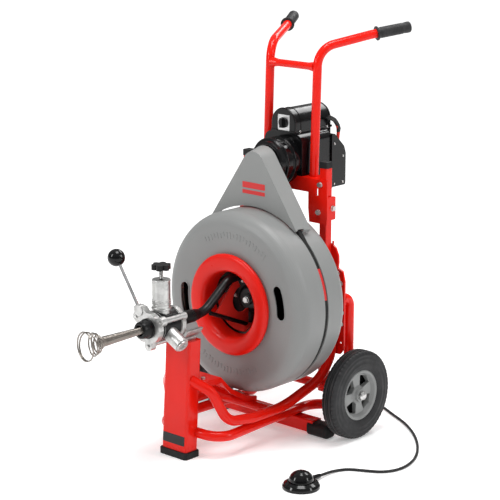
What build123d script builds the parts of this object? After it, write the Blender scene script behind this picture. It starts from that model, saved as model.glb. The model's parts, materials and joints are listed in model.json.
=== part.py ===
"""Drum-type drain cleaning machine on a two-wheeled frame.

Millimetres, +Z up, X across the machine and -Y towards the cable nose.
The origin is on the floor, under the middle of the machine's own box.
"""
import os
from math import asin, cos, degrees, pi, radians, sin, tan

from build123d import *

# ---- driving dimensions -------------------------------------------------------------
AXIS_Z = 385.0            # height of the drum axis, which is also the cable's axis
DRUM_R = 259.0
DRUM_FRONT = 25.0
DRUM_BACK = 215.0
DRUM_EDGE = 40.0          # rounding of the drum's front edge
DRUM_BACK_EDGE = 25.0
SKIN = 4.0                # wall of the drum's plastic shells
GROOVE_FRONT = 123.0
GROOVE_BACK = 137.0
GROOVE_R = 246.0
BELT_R = 255.6
BELT_T = 8.0
BELT_GAP = 0.4
PULLEY_Z = 765.0
PULLEY_R = 23.6

SPINDLE_R = 15.0
BEARING_R = 26.0
RUN_GAP = 0.06            # radial clearance of a running fit
GAP = 0.4                 # clearance between bodies that move past each other

WHEEL_R = 127.0
WHEEL_Y = 248.0
TYRE_IN = 243.0
TYRE_OUT = 293.0
RIM_R = 72.0
AXLE_R = 8.0
AXLE_END = 302.0

RAIL_R = 14.3
RAIL_WALL = 2.0
COLUMN_HALF = 46.0
COLUMN_DEPTH = 48.0
COLUMN_TOP = 330.0
COLUMN_FOOT_Y = -212.0    # front face of the column at the floor
COLUMN_LEAN = 20.0 / 325.0

MAST_X = 144.0
MAST_Y = 257.0
MAST_SIDE = 25.4
MAST_TOP = 757.0
MAST_WALL = 2.5
GUSSET_Y = MAST_Y + MAST_SIDE / 2
GUSSET_T = 6.0

POST_X = 87.6
POST_Y = 272.0
HANDLE_R = 12.7
CARRIAGE_FRONT = 238.0
CARRIAGE_TOP = 725.0

CABLE_R = 10.0
FEED_Y = -250.0           # plane of the three feed rollers
NOSE_FRONT = -334.0

FOOT_X = 410.0
FOOT_Y = -151.0
HOSE_R = 4.0

ROLLER_ANGLES = (90.0, -30.0, 210.0)
TIE_ANGLES = (30.0, 150.0, 270.0)


# ---- helpers ------------------------------------------------------------------------
def block(x0, x1, y0, y1, z0, z1):
    """A box between two corners."""
    size = Box(x1 - x0, y1 - y0, z1 - z0, align=(Align.MIN, Align.MIN, Align.MIN))
    return Pos(x0, y0, z0) * size


def rod(start, end, radius):
    """A round bar between two points."""
    line = Vector(*end) - Vector(*start)
    plane = Plane(origin=start, z_dir=line)
    return plane * Cylinder(radius, line.length, align=(Align.CENTER, Align.CENTER, Align.MIN))


def pipe_between(start, end, outer, inner):
    """A straight pipe between two points."""
    return rod(start, end, outer) - rod(start, end, inner)


def turned_y(points, z=AXIS_Z, x=0.0):
    """A solid of revolution about a line along Y; points are (y, radius)."""
    plane = Plane(origin=(x, 0, z), x_dir=(0, 1, 0), z_dir=(1, 0, 0))
    section = plane * make_face(Polyline(*points, close=True))
    return revolve(section, Axis((x, 0, z), (0, 1, 0)), 360)


def turned_z(points, x, y):
    """A solid of revolution about a vertical line; points are (radius, z)."""
    plane = Plane(origin=(x, y, 0), x_dir=(1, 0, 0), z_dir=(0, -1, 0))
    section = plane * make_face(Polyline(*points, close=True))
    return revolve(section, Axis((x, y, 0), (0, 0, 1)), 360)


def turned_x(points, y, z):
    """A solid of revolution about a line along X; points are (x, radius)."""
    plane = Plane(origin=(0, y, z), x_dir=(1, 0, 0), z_dir=(0, -1, 0))
    section = plane * make_face(Polyline(*points, close=True))
    return revolve(section, Axis((0, y, z), (1, 0, 0)), 360)


def slab_xz(points, y0, y1):
    """A flat plate facing along Y; points are (x, z)."""
    plane = Plane(origin=(0, y1, 0), x_dir=(1, 0, 0), z_dir=(0, -1, 0))
    return extrude(plane * make_face(Polyline(*points, close=True)), y1 - y0)


def slab_yz(points, x0, x1):
    """A flat plate facing along X; points are (y, z)."""
    plane = Plane(origin=(x0, 0, 0), x_dir=(0, 1, 0), z_dir=(1, 0, 0))
    return extrude(plane * make_face(Polyline(*points, close=True)), x1 - x0)


def bent_bar(points, radii, outer):
    """A round bar along straight runs joined by tangent arcs."""
    path = FilletPolyline(*points, radius=radii)
    start = path @ 0
    section = Plane(origin=start, z_dir=path % 0) * Circle(outer)
    return sweep(section, path=path)


def bent_tube(points, radii, outer, wall):
    """A round tube along straight runs joined by tangent arcs."""
    return bent_bar(points, radii, outer) - bent_bar(points, radii, outer - wall)


def other_side(shape):
    """The same shape on the left-hand side."""
    return mirror(shape, about=Plane.YZ)


def polar(radius, angle, y):
    """A point at an angle round the cable axis."""
    return (radius * cos(radians(angle)), y, AXIS_Z + radius * sin(radians(angle)))


def bolt_head(base, direction, across, head):
    """A hexagon bolt head with its washer, standing on a face."""
    plane = Plane(origin=base, z_dir=direction)
    low = (Align.CENTER, Align.CENTER, Align.MIN)
    washer = plane * Cylinder(across * 0.62, 1.5, align=low)
    cap = extrude(plane * Pos(0, 0, 1.5) * RegularPolygon(across / 2, 6, major_radius=False), head)
    return washer + cap


def union(shapes):
    """All the shapes fused into one."""
    total = shapes[0]
    for shape in shapes[1:]:
        total = total + shape
    return total


def group(shapes):
    """Separate solids kept together in one node."""
    solids = []
    for shape in shapes:
        solids.extend(shape.solids())
    return Compound(children=solids)


# ---- frame --------------------------------------------------------------------------
def column_front(z):
    """Where the leaning column's front face is at a height."""
    return COLUMN_FOOT_Y + COLUMN_LEAN * z


def column_block(low, high, inset):
    """The column's leaning prism between two heights, walls moved in by inset."""
    side = [
        (column_front(low) + inset, low),
        (column_front(low) + COLUMN_DEPTH - inset, low),
        (column_front(high) + COLUMN_DEPTH - inset, high),
        (column_front(high) + inset, high),
    ]
    half = COLUMN_HALF - inset
    prism = slab_yz(side, -half, half)
    upright = prism.edges().filter_by(lambda e: abs((e % 0).Z) > 0.9)
    return fillet(upright, 7.0 - inset)


COLUMN_BASE = 8.0
COLUMN_WALL = 3.0


def front_column():
    outer = column_block(COLUMN_BASE, COLUMN_TOP, 0)
    inner = column_block(COLUMN_BASE - 1, COLUMN_TOP - 4, COLUMN_WALL)
    return outer - inner


def front_foot():
    low = column_front(0) - 4
    boot = block(-51, 51, low, low + COLUMN_DEPTH + 9, 0, 19)
    boot = fillet(boot.edges().filter_by(Axis.Z), 8)
    boot = chamfer(boot.faces().sort_by(Axis.Z)[-1].edges(), 2)
    return boot - column_block(COLUMN_BASE, 60, 0)


LOWER_RAIL = [
    (38, -163, 67), (117, -146, 60), (105, 60, 60), (104, 240, 60),
    (190, 311, 66), (190, 311, 378), (190, 279, 386),
]
LOWER_RADII = [62, 300, 60, 52, 27]
UPPER_RAIL = [
    (38, -182, 222), (84, -146, 188), (108, -108, 98), (119, -20, 90),
    (119, 112, 90), (161, 222, 154), (171.4, 255, 222), (171.4, 255, 300),
]
UPPER_RADII = [48, 52, 70, 120, 120, 90]


def rail(points, radii):
    """One bent frame tube, cut where it meets the column."""
    tube = bent_bar(points, radii, RAIL_R) - column_block(COLUMN_BASE, COLUMN_TOP, 0)
    return tube - block(130, 230, 200, GUSSET_Y + GUSSET_T, 340, 420)


AXLE_TUBE_R = 12.7
AXLE_TUBE_HALF = 216.0
CROSS_Y = 67.0
CROSS_Z = 88.0
REAR_BAR_HALF = 178.0
REAR_BAR = (168, 206, 7, 45.4)


def cross_tubes(upper_rails, lower_rails):
    """The front cross tube, the axle tube and the low rear bar."""
    front = rod((-119, CROSS_Y, CROSS_Z), (119, CROSS_Y, CROSS_Z), RAIL_R - 2)
    for piece in upper_rails:
        front = front - piece
    axle_tube = pipe_between(
        (-AXLE_TUBE_HALF, WHEEL_Y, WHEEL_R), (AXLE_TUBE_HALF, WHEEL_Y, WHEEL_R),
        AXLE_TUBE_R, AXLE_R)
    y0, y1, z0, z1 = REAR_BAR
    bar = block(-REAR_BAR_HALF, REAR_BAR_HALF, y0, y1, z0, z1)
    bar = fillet(bar.edges().filter_by(Axis.X), 4)
    for piece in lower_rails:
        bar = bar - piece
    return group([front, axle_tube, bar])


def rear_feet():
    """Rubber caps on the ends of the low rear bar."""
    y0, y1, z0, z1 = REAR_BAR
    cap = block(160, 231, y0 - 4, y1 + 4, 0, z1 - 4)
    cap = fillet(cap.edges().filter_by(Axis.X), 14)
    cap = fillet(cap.faces().sort_by(Axis.X)[-1].edges(), 9)
    right = cap - block(0, REAR_BAR_HALF, y0, y1, z0, z1)
    return [right, other_side(right)]


TRAY_HALF = 40.0
TRAY_TOP = [(-152, 200), (-62, 200), (-22, 158), (40, 122), (86, 110)]
TRAY_T = 4.0
TRAY_FLANGE = 16.0


def drum_tray():
    """Bent channel that ties the column to the front cross tube."""
    top = TRAY_TOP
    skin = top + [(y, z - TRAY_T) for y, z in reversed(top)]
    plate = slab_yz(skin, -TRAY_HALF, TRAY_HALF)
    side = top + [(y, z - TRAY_FLANGE) for y, z in reversed(top)]
    flange = slab_yz(side, TRAY_HALF - 3, TRAY_HALF)
    tray = plate + flange + other_side(flange)
    tray = tray - column_block(COLUMN_BASE, COLUMN_TOP, 0)
    return tray - rod((-119, CROSS_Y, CROSS_Z), (119, CROSS_Y, CROSS_Z), RAIL_R - 2)


def masts():
    """Two square tubes that carry the drum and guide the motor carriage."""
    half = MAST_SIDE / 2
    inner = half - MAST_WALL
    solids = []
    for side in (1, -1):
        x = side * MAST_X
        outer = block(x - half, x + half, MAST_Y - half, MAST_Y + half, 108, MAST_TOP)
        outer = fillet(outer.edges().filter_by(Axis.Z), 3)
        bore = block(x - inner, x + inner, MAST_Y - inner, MAST_Y + inner, 107, MAST_TOP + 1)
        solids.append(outer - bore - rod((-300, WHEEL_Y, WHEEL_R), (300, WHEEL_Y, WHEEL_R), AXLE_TUBE_R))
    return solids


def mast_caps():
    """Plastic plugs in the masts' upper ends."""
    half = MAST_SIDE / 2 + 1.2
    inner = MAST_SIDE / 2 - MAST_WALL
    caps = []
    for side in (1, -1):
        x = side * MAST_X
        cap = block(x - half, x + half, MAST_Y - half, MAST_Y + half, MAST_TOP, MAST_TOP + 18)
        cap = fillet(cap.edges().filter_by(Axis.Z), 3)
        cap = fillet(cap.faces().sort_by(Axis.Z)[-1].edges(), 2.5)
        caps.append(cap + block(x - inner, x + inner, MAST_Y - inner, MAST_Y + inner,
                                MAST_TOP - 20, MAST_TOP))
    return caps


GUSSET = [
    (132, 222), (192, 222), (205, 240), (205, 436), (197, 466), (180, 474), (182, 490),
    (181, 508), (171, 530), (158, 540), (132, 540),
]
GUSSET_HOLE = (193, 256, 4.0)
GUSSET_BOLTS = [(180, 458), (191, 430), (197, 346), (195, 312), (144, 280), (144, 500)]


def gussets():
    """Side plates bolted to the back of each mast."""
    plate = slab_xz(GUSSET, GUSSET_Y, GUSSET_Y + GUSSET_T)
    plate = fillet(plate.edges().filter_by(Axis.Y), 3)
    x, z, r = GUSSET_HOLE
    plate = plate - rod((x, GUSSET_Y - 1, z), (x, GUSSET_Y + GUSSET_T + 1, z), r)
    lug = rod((160, GUSSET_Y + 3, 538), (160, GUSSET_Y + 3, 548), 2.8)
    return [plate + lug, other_side(plate + lug)]


SUPPORT_BACK = MAST_Y - MAST_SIDE / 2
SUPPORT_T = 6.0


SUPPORT_BOLTS = (366, 404)


def drum_support():
    """Plate across the masts that holds the drum's spindle."""
    plate = slab_xz(
        [(-157, 345), (-157, 425), (-60, 450), (60, 450), (157, 425), (157, 345), (60, 320),
         (-60, 320)], SUPPORT_BACK - SUPPORT_T, SUPPORT_BACK)
    plate = fillet(plate.edges().filter_by(Axis.Y), 8)
    boss = turned_y([(SUPPORT_BACK - 22, 0), (SUPPORT_BACK - 22, 28), (SUPPORT_BACK - 6, 40),
                     (SUPPORT_BACK + 8, 40), (SUPPORT_BACK + 8, 0)])
    return plate + boss - rod((0, 100, AXIS_Z), (0, 300, AXIS_Z), SPINDLE_R)


SPINDLE_FRONT = 90.0


def drum_spindle():
    """Fixed steel spindle on which the drum and the cable guide turn."""
    end = SUPPORT_BACK + 8
    return turned_y([
        (SPINDLE_FRONT, 0), (SPINDLE_FRONT, SPINDLE_R - 1), (SPINDLE_FRONT + 1, SPINDLE_R),
        (end, SPINDLE_R), (end, 26), (end + 8, 24), (end + 8, 0)])


def belt_outline(big, small):
    """A loop round the drum and the pulley, as a face in the XZ plane."""
    lift = PULLEY_Z - AXIS_Z
    tilt = asin((big - small) / lift)
    low = (big * cos(tilt), AXIS_Z + big * sin(tilt))
    high = (small * cos(tilt), PULLEY_Z + small * sin(tilt))
    left_low = (-low[0], low[1])
    left_high = (-high[0], high[1])
    edges = [
        ThreePointArc(low, (0, AXIS_Z - big), left_low),
        Line(left_low, left_high),
        ThreePointArc(left_high, (0, PULLEY_Z + small), high),
        Line(high, low),
    ]
    return make_face(edges)


BELT_EXIT = [(198, 560), (165, 606), (120, 606), (120, 560)]


def belt_passage():
    """Room for the belt where it leaves the guard's lower tips."""
    right = slab_xz(BELT_EXIT, GROOVE_FRONT - 3, GROOVE_BACK + 3)
    return right + other_side(right)


def drive_belt():
    """Flat ribbed belt from the motor's pulley round the drum's groove."""
    outer = belt_outline(BELT_R, PULLEY_R + BELT_GAP + BELT_T)
    inner = belt_outline(BELT_R - BELT_T, PULLEY_R + BELT_GAP)
    width = GROOVE_BACK - GROOVE_FRONT - 2 * BELT_GAP
    plane = Plane(origin=(0, GROOVE_BACK - BELT_GAP, 0), x_dir=(1, 0, 0), z_dir=(0, -1, 0))
    return extrude(plane * (outer - inner), width)


# ---- drum ---------------------------------------------------------------------------
def arc_points(centre_y, centre_r, radius, start, end, count):
    """Points (y, r) on a round corner; angles in degrees from the +Y direction."""
    step = (end - start) / count
    angles = [radians(start + step * i) for i in range(count + 1)]
    return [(centre_y + radius * cos(a), centre_r + radius * sin(a)) for a in angles]


SLOT_R = 182.0
SLOT_SPAN = 21.0
SLOT_WIDTH = 32.0
SLOT_ANGLES = (11.0, 185.0)


def drum_slot(angle):
    """Cutter for a curved hand slot in the drum's front face."""
    arc = CenterArc((0, 0), SLOT_R, angle - SLOT_SPAN / 2, SLOT_SPAN)
    plane = Plane(origin=(0, DRUM_FRONT + 30, AXIS_Z), x_dir=(1, 0, 0), z_dir=(0, -1, 0))
    return extrude(plane * SlotArc(arc, SLOT_WIDTH), 60)


def drum_front():
    """Front half of the drum, with hand slots."""
    corner = DRUM_R - DRUM_EDGE
    middle = DRUM_FRONT + DRUM_EDGE
    outer = arc_points(middle, corner, DRUM_EDGE, 180, 90, 10)
    inner = arc_points(middle, corner, DRUM_EDGE - SKIN, 90, 180, 10)
    profile = [(DRUM_FRONT, 124)] + outer + [
        (GROOVE_FRONT, DRUM_R), (GROOVE_FRONT, GROOVE_R - SKIN),
        (GROOVE_FRONT - SKIN, GROOVE_R - SKIN), (GROOVE_FRONT - SKIN, DRUM_R - SKIN),
    ] + inner + [(DRUM_FRONT + SKIN, 124)]
    shell = turned_y(profile)
    for angle in SLOT_ANGLES:
        shell = shell - drum_slot(angle)
    return shell


def drum_rear():
    """Rear half of the drum, with the belt's groove."""
    corner = DRUM_R - DRUM_BACK_EDGE
    middle = DRUM_BACK - DRUM_BACK_EDGE
    outer = arc_points(middle, corner, DRUM_BACK_EDGE, 90, 0, 8)
    inner = arc_points(middle, corner, DRUM_BACK_EDGE - SKIN, 0, 90, 8)
    profile = [
        (GROOVE_FRONT, GROOVE_R - SKIN), (GROOVE_FRONT, GROOVE_R), (GROOVE_BACK, GROOVE_R),
        (GROOVE_BACK, DRUM_R),
    ] + outer + [(DRUM_BACK, 46), (DRUM_BACK - SKIN, 46)] + inner + [
        (GROOVE_BACK + SKIN, DRUM_R - SKIN), (GROOVE_BACK + SKIN, GROOVE_R - SKIN)]
    return turned_y(profile)


THROAT_R = 91.0
FUNNEL_BACK = 56.0


def drum_funnel():
    """Bell-mouthed ring in the drum's front opening."""
    lip = [
        (DRUM_FRONT, 124), (DRUM_FRONT, 139), (21, 143), (15, 145.5), (9, 143), (5.5, 136),
        (4.5, 124), (4.5, 112), (7, 102), (13, 95.5), (22, 92.5), (40, THROAT_R),
        (FUNNEL_BACK, THROAT_R), (FUNNEL_BACK, THROAT_R + 4), (40, THROAT_R + 4), (33, 98),
        (30, 104), (DRUM_FRONT + SKIN, 124),
    ]
    return turned_y(lip)


HUB_FRONT = 110.0


def drum_hub():
    """Hub tube bolted inside the drum's back wall."""
    inside = DRUM_BACK - SKIN
    return turned_y([
        (HUB_FRONT, BEARING_R), (HUB_FRONT, 38), (HUB_FRONT + 4, 42), (190, 42),
        (inside - 8, 60), (inside - 6, 90), (inside, 90), (inside, 45.8),
        (DRUM_BACK, 45.8), (DRUM_BACK, BEARING_R), (203, BEARING_R),
        (203, 19), (123, 19), (123, BEARING_R)])


def drum_bearings():
    """Two ball bearings between the hub and the spindle."""
    bore = SPINDLE_R + RUN_GAP
    rings = []
    for y0, y1 in ((HUB_FRONT + 0.5, 123), (203, DRUM_BACK - 0.5)):
        rings.append(turned_y([(y0, bore), (y0, BEARING_R), (y1, BEARING_R), (y1, bore)]))
    return rings


def stored_cable():
    """The wound cable, as rings that lie against the drum's wall."""
    ring_r = 8.0
    rings = []
    for layer, count in ((0, 6), (1, 5)):
        radius = GROOVE_R - SKIN - 9 - layer * 15.5
        for i in range(count):
            y = 68 + layer * 10 + i * 20
            plane = Plane(origin=(radius, y, AXIS_Z), z_dir=(0, 0, 1))
            ring = revolve(plane * Circle(ring_r), Axis((0, 0, AXIS_Z), (0, 1, 0)), 360)
            rings.append(ring)
    return rings


# ---- cable guide --------------------------------------------------------------------
GUIDE = [(0, -196, AXIS_Z), (0, -86, AXIS_Z), (0, 14, 459), (0, 66, 461), (0, 132, 518)]
GUIDE_RADII = [75, 60, 55]
GUIDE_R = 13.0
GUIDE_BORE = 11.5
STRUT = ((0, -62, 377), (0, 101, 308))


def guide_tube():
    """Bent tube that lays the cable into the drum."""
    tube = bent_bar(GUIDE, GUIDE_RADII, GUIDE_R) - bent_bar(GUIDE, GUIDE_RADII, GUIDE_BORE)
    boot = turned_y([(-192, GUIDE_R), (-192, 16), (-189, 18), (-134, 18), (-114, 15), (-108, GUIDE_R)])
    return tube + boot


def guide_frame():
    """Turning plate on the spindle with the strut to the guide tube."""
    bore = SPINDLE_R + RUN_GAP
    plate = turned_y([
        (93, bore), (93, 30), (97, 38), (100, 40), (101, 86), (106, 86), (106, 46),
        (109, 40), (109, bore)])
    strut = rod(STRUT[0], STRUT[1], 6)
    tube = bent_bar(GUIDE, GUIDE_RADII, GUIDE_R)
    return plate + strut - tube


SHIELD = [(59, 85), (61, 87), (101, 66), (101, 63), (99, 63)]


def guide_shield():
    """Part of a dish that closes the mouth below the strut."""
    dish = turned_y(SHIELD)
    upper = block(-100, 100, 50, 110, AXIS_Z + 8, AXIS_Z + 100)
    right = block(22, 100, 50, 110, AXIS_Z - 100, AXIS_Z + 9)
    return dish - upper - right


def guide_web():
    """Triangular stiffening plate between the strut and the guide tube."""
    web = slab_yz([(-40, 372), (-24, 388), (30, 448), (46, 452), (60, 430), (99, 345),
                   (99, 314)], -2, 2)
    relief = Pos(0, 66, 393) * Rot(0, 90, 0) * Cylinder(38, 10)
    far = block(-5, 5, 66, 110, 360, 460)
    web = web - relief - far + guide_shield()
    web = web - bent_bar(GUIDE, GUIDE_RADII, GUIDE_R) - rod(STRUT[0], STRUT[1], 6)
    web = web - turned_y([(92, 0), (92, 90), (110, 90), (110, 0)])
    return web.solids().sort_by(SortBy.VOLUME)[-1]


# ---- drain cable --------------------------------------------------------------------
BULB_TIP_Y = -539.0
WIRE_R = 1.7


def drain_cable():
    """The straight end of the cable, from the guide tube to the flared tip."""
    return turned_y([
        (-474, 0), (-474, 15), (-464, 14), (-420, 12.6), (-371, 11.4), (-338, CABLE_R),
        (-106, CABLE_R), (-106, 0)])


BULB_ROOT_Y = -478.0
BULB_RINGS = 6


def cable_bulb():
    """Bulb-shaped wire head: widening rings of spring wire on three long wires."""
    last = BULB_RINGS - 1
    rings = []
    for i in range(BULB_RINGS):
        y = BULB_ROOT_Y + (BULB_TIP_Y + WIRE_R - BULB_ROOT_Y) * i / last
        r = 15 + 22 * i / last
        section = Plane(origin=(r, y, AXIS_Z), x_dir=(1, 0, 0), z_dir=(0, 0, 1)) * Circle(WIRE_R)
        rings.append(revolve(section, Axis((0, 0, AXIS_Z), (0, 1, 0)), 360))
    wires = []
    for angle in (90, 210, 330):
        start = polar(14, angle, BULB_ROOT_Y + 3)
        wires.append(rod(start, polar(37, angle, BULB_TIP_Y + WIRE_R), WIRE_R))
    return union(rings + wires) - drain_cable()


# ---- feed unit ----------------------------------------------------------------------
CHAMBER_R = 30.0
BODY_R = 41.0
BARREL_R = 24.5
BARREL_TOP = 126.0
SHORT_BARREL_R = 21.0
SHORT_BARREL_END = 86.0
STEM_R = 9.0
REAR_PLATE = (-214.0, -200.0)
RING_PLATE = (-302.0, -284.0)
FEED_BORE = 12.5


def feed_bracket():
    """Cradle on the column's top that the feed unit is bolted into."""
    cradle = turned_y([(-200, 46), (-200, 54), (-142, 54), (-142, 46)])
    cradle = cradle & block(-60, 60, -220, -100, 300, 364)
    foot = block(-30, 30, -194, -150, COLUMN_TOP, 338)
    foot = foot - rod((0, -230, AXIS_Z), (0, -100, AXIS_Z), 50)
    return cradle + foot


def lobed_plate(y0, y1, centre_r, lobe_r, lobe_at, angles):
    """A round plate with arms that end in round lobes."""
    shapes = [rod((0, y0, AXIS_Z), (0, y1, AXIS_Z), centre_r)]
    for angle in angles:
        end = polar(lobe_at, angle, y0)
        shapes.append(rod(end, (end[0], y1, end[2]), lobe_r))
        side = (-sin(radians(angle)), cos(radians(angle)))
        middle = polar(0, angle, y0)
        corners = []
        for along, across in ((0, 1), (1, 1), (1, -1), (0, -1)):
            base = end if along else middle
            corners.append((base[0] + across * lobe_r * side[0],
                            base[2] + across * lobe_r * side[1]))
        shapes.append(slab_xz(corners, y0, y1))
    return union(shapes)


def feed_housing():
    """Cast body: roller chamber, three radial barrels, rear plate and tie bars."""
    chamber = pipe_between((0, -276, AXIS_Z), (0, REAR_PLATE[0], AXIS_Z), BODY_R, CHAMBER_R)
    body = chamber + lobed_plate(REAR_PLATE[0], REAR_PLATE[1], 44, 10, 44, TIE_ANGLES)
    for angle in ROLLER_ANGLES:
        top = angle == ROLLER_ANGLES[0]
        radius = BARREL_R if top else SHORT_BARREL_R
        reach = BARREL_TOP if top else SHORT_BARREL_END
        body = body + rod(polar(CHAMBER_R + 4, angle, FEED_Y), polar(reach, angle, FEED_Y), radius)
    for angle in TIE_ANGLES:
        start = polar(46, angle, -276)
        body = body + rod(start, (start[0], REAR_PLATE[0], start[2]), 8)
    body = body - rod((0, -277, AXIS_Z), (0, REAR_PLATE[0], AXIS_Z), CHAMBER_R)
    body = body - rod((0, -300, AXIS_Z), (0, -190, AXIS_Z), FEED_BORE)
    for angle in ROLLER_ANGLES:
        top = angle == ROLLER_ANGLES[0]
        depth = BARREL_TOP - 7 if top else SHORT_BARREL_END - 7
        body = body - rod(polar(20, angle, FEED_Y), polar(depth, angle, FEED_Y), STEM_R + GAP)
    body = body - rod(polar(100, 90, FEED_Y), polar(140, 90, FEED_Y), 5 + GAP)
    return body


def feed_barrel_caps():
    """Screwed end caps of the two lower barrels."""
    caps = []
    for angle in ROLLER_ANGLES[1:]:
        cap = rod(polar(SHORT_BARREL_END, angle, FEED_Y), polar(SHORT_BARREL_END + 5, angle, FEED_Y), 17)
        slot = rod(polar(SHORT_BARREL_END + 1, angle, FEED_Y),
                   polar(SHORT_BARREL_END + 6, angle, FEED_Y), 9)
        caps.append(cap - slot)
    return caps


LEVER_SOCKET = (-36.3, -291, 416.3)    # in line with the root and the ball
LEVER_ROOT = (-50.6, -291, 437.9)
LEVER_END = (-122, -291, 545.7)
LEVER_BALL = (-128.5, -291, 555.5)


def feed_ring():
    """Front plate that the feed lever turns."""
    y0, y1 = RING_PLATE
    plate = lobed_plate(y0, y1, 42, 13, 50, TIE_ANGLES)
    boss = rod((-34, y0 - 3, 428), (-34, y1, 428), 15)
    arm = slab_xz([(-46, 395), (-50, 428), (-40, 442), (-20, 440), (0, 420), (0, 395)], y0, y1)
    socket = rod(LEVER_SOCKET, LEVER_ROOT, 10.5)
    plate = plate + boss + arm + socket
    return plate - rod((0, y0 - 5, AXIS_Z), (0, y1 + 5, AXIS_Z), FEED_BORE)


def feed_nose():
    """Black guide bushing in front of the feed unit."""
    y1 = RING_PLATE[0]
    return turned_y([
        (NOSE_FRONT, 15), (NOSE_FRONT, 20), (NOSE_FRONT + 3, 22.5), (NOSE_FRONT + 10, 24),
        (y1 - 6, 25.5), (y1 - 6, 27.5), (y1, 27.5), (y1, FEED_BORE), (NOSE_FRONT + 8, FEED_BORE)])


def feed_lever():
    """Chrome lever rod."""
    return rod(LEVER_ROOT, LEVER_END, 5)


def lever_ball():
    return Pos(*LEVER_BALL) * Sphere(24) - feed_lever()


def roller_carrier(angle):
    """One feed roller in its fork, which turns in the radial barrel."""
    roller = rod((18.6, FEED_Y - 9, 0), (18.6, FEED_Y + 9, 0), 8)
    fork = block(26, 28.8, FEED_Y - 8, FEED_Y + 8, -4, 4)
    top = angle == ROLLER_ANGLES[0]
    stem = rod((28, FEED_Y, 0), (58 if top else 74, FEED_Y, 0), STEM_R)
    carrier = roller + fork + stem
    return Pos(0, 0, AXIS_Z) * Rot(0, -angle, 0) * carrier


KNOB_Z = 545.0


def tension_knob():
    """Star knob and screw on top of the upper barrel."""
    bumps = [rod((18 * cos(radians(a)), FEED_Y + 18 * sin(radians(a)), KNOB_Z - 7),
                 (18 * cos(radians(a)), FEED_Y + 18 * sin(radians(a)), KNOB_Z + 7), 8.5)
             for a in range(0, 360, 60)]
    head = union([rod((0, FEED_Y, KNOB_Z - 7), (0, FEED_Y, KNOB_Z + 7), 19)] + bumps)
    return head + rod((0, FEED_Y, 488), (0, FEED_Y, KNOB_Z - 6), 5)


def tension_plunger():
    """Nut block that the screw drives down onto the spring."""
    nut = rod((0, FEED_Y, 476), (0, FEED_Y, 500), STEM_R)
    return nut - rod((0, FEED_Y, 484), (0, FEED_Y, 501), 5 + GAP)


def tension_spring():
    """Spring between the nut block and the upper roller, as a sleeve."""
    return pipe_between((0, FEED_Y, AXIS_Z + 58.5), (0, FEED_Y, 475.5), 8.4, 6)


# ---- motor carriage -----------------------------------------------------------------
MOTOR_R = 67.0
MOTOR_FRONT = 166.0
MOTOR_BODY = (-70.0, 70.0, 240.0, 366.0, 692.0, 843.0)


def motor_body_block(grow):
    x0, x1, y0, y1, z0, z1 = MOTOR_BODY
    body = block(x0 - grow, x1 + grow, y0, y1, z0 - grow, z1 + grow)
    return fillet(body.edges().filter_by(Axis.Y), 26 + grow)


def motor_housing():
    """Motor casing: round front bell with rings, squarer body behind."""
    bell = turned_y([
        (MOTOR_FRONT, 14), (MOTOR_FRONT, 54), (170, 60), (182, 62), (184, MOTOR_R), (191, MOTOR_R),
        (193, 64), (212, 64), (214, MOTOR_R), (240, MOTOR_R), (240, 14)], z=PULLEY_Z)
    return bell + motor_body_block(0) - rod((0, 160, PULLEY_Z), (0, 250, PULLEY_Z), 14)


SWITCH_Z = 868.0
SWITCH_HALF = 42.0
SWITCH_BACK = 398.0


NECK_DROP = 34.0


def switch_housing():
    """Arched switch box on top of the motor, with a neck behind the motor."""
    base = MOTOR_BODY[5]
    back = SWITCH_BACK
    column = block(-SWITCH_HALF, SWITCH_HALF, 240, back, base, SWITCH_Z)
    arch = rod((0, 240, SWITCH_Z), (0, back, SWITCH_Z), SWITCH_HALF)
    arch = arch & block(-60, 60, 230, back + 10, SWITCH_Z - 1, 950)
    plinth = block(-44, 44, 238, back + 4, base, base + 6)
    neck = block(-SWITCH_HALF, SWITCH_HALF, MOTOR_BODY[3], back,
                 base - NECK_DROP, base)
    neck = neck - rear_box()
    neck = neck.solids().sort_by(Axis.Z)[-1]
    return column + arch + plinth + neck - block(-23, 23, 230, 242, 847, 893)


def switch_knob():
    """Rotary switch knob with a grip bar."""
    y1 = 241.6
    disc = rod((0, y1 - 5, 870), (0, y1, 870), 15)
    bar = block(-4.5, 4.5, y1 - 14, y1 - 5, 857, 883)
    return disc + bar


def rear_box():
    """Gear and terminal box behind the motor."""
    side = [(366, 675), (426, 675), (428, 682), (428, 768), (421, 788), (378, 829), (366, 829)]
    box = slab_yz(side, -75, 75)
    return fillet(box.edges().filter_by(Axis.X), 3)


HOSE_X = 32.0
HOSE_Y = 400.0


def cord_inlets():
    """Rubber boots under the rear box: one for the air hose, one for mains."""
    hose = turned_z([(4.3, 636), (8, 636), (11, 660), (14, 664), (14, 675), (0, 675), (0, 668),
                     (4.3, 668)], HOSE_X, HOSE_Y)
    mains = turned_z([(5, 652), (10, 652), (12, 664), (14, 668), (14, 675), (0, 675), (0, 664),
                      (5, 664)], -HOSE_X, HOSE_Y)
    return [hose, mains]


GUARD_FRONT = 114.0
GUARD_BACK = 162.0
GUARD_WALL = 2.5
GUARD_DRAFT = 12.0


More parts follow.
